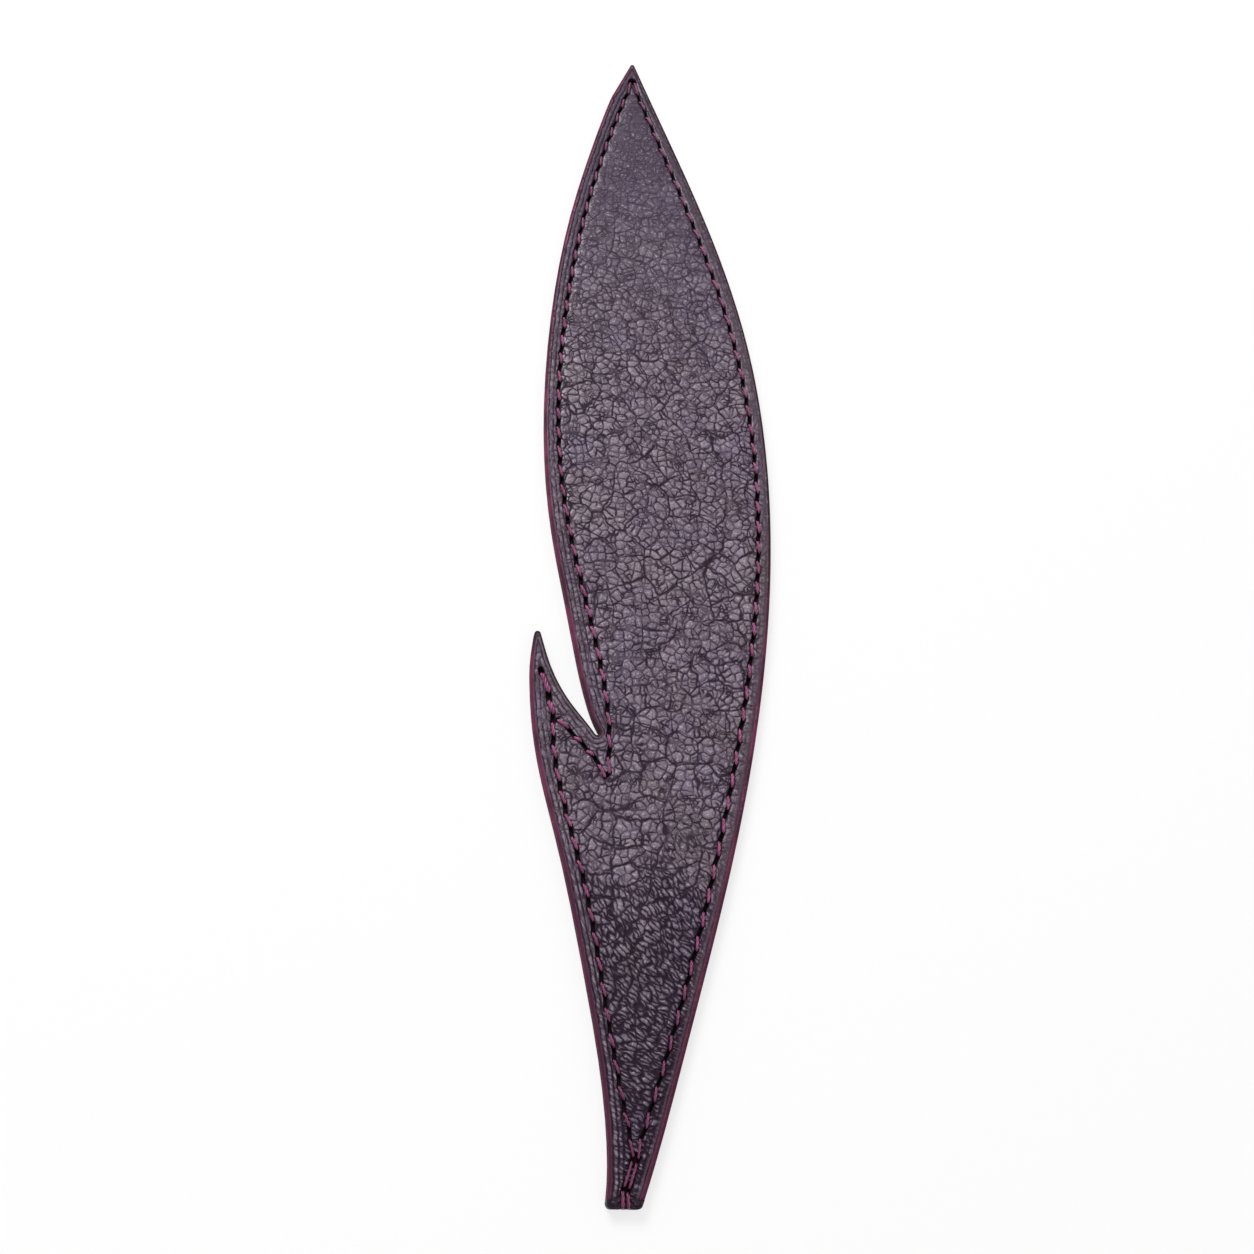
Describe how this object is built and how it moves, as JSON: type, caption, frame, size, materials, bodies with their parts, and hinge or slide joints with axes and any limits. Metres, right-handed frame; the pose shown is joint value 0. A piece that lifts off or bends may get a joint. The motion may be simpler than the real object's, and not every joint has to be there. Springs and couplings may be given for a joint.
{
  "type": "leather bookmark",
  "caption": "Flat feather-shaped leather bookmark with a barb notch, two glued leathers, saddle stitching round the edge, a painted edge and a tapered quill end.",
  "frame": {"origin": "middle of the outline's bounding box, on the flat back face", "axes": "+Y from the quill's cut end to the tip of the feather, +Z out of the front face, +X to the long right edge"},
  "size_m": [0.0382, 0.1973, 0.0024],
  "materials": {
    "front_leather": "pebbled grain, dark aubergine, low sheen",
    "back_leather": "pebbled grain, dark aubergine, low sheen",
    "contact_cement": "dried amber film, hidden",
    "edge_paint": "burgundy edge paint, satin",
    "thread": "waxed magenta thread"
  },
  "bodies": {
    "root": {"front_panel": "front_leather", "back_panel": "back_leather", "glue_film": "contact_cement", "edge_paint": "edge_paint", "thread_right_edge": "thread", "thread_left_edge": "thread", "thread_notch": "thread", "thread_barb_edge": "thread", "thread_quill_stitch": "thread", "thread_end_wrap": "thread"}
  },
  "joints": []
}
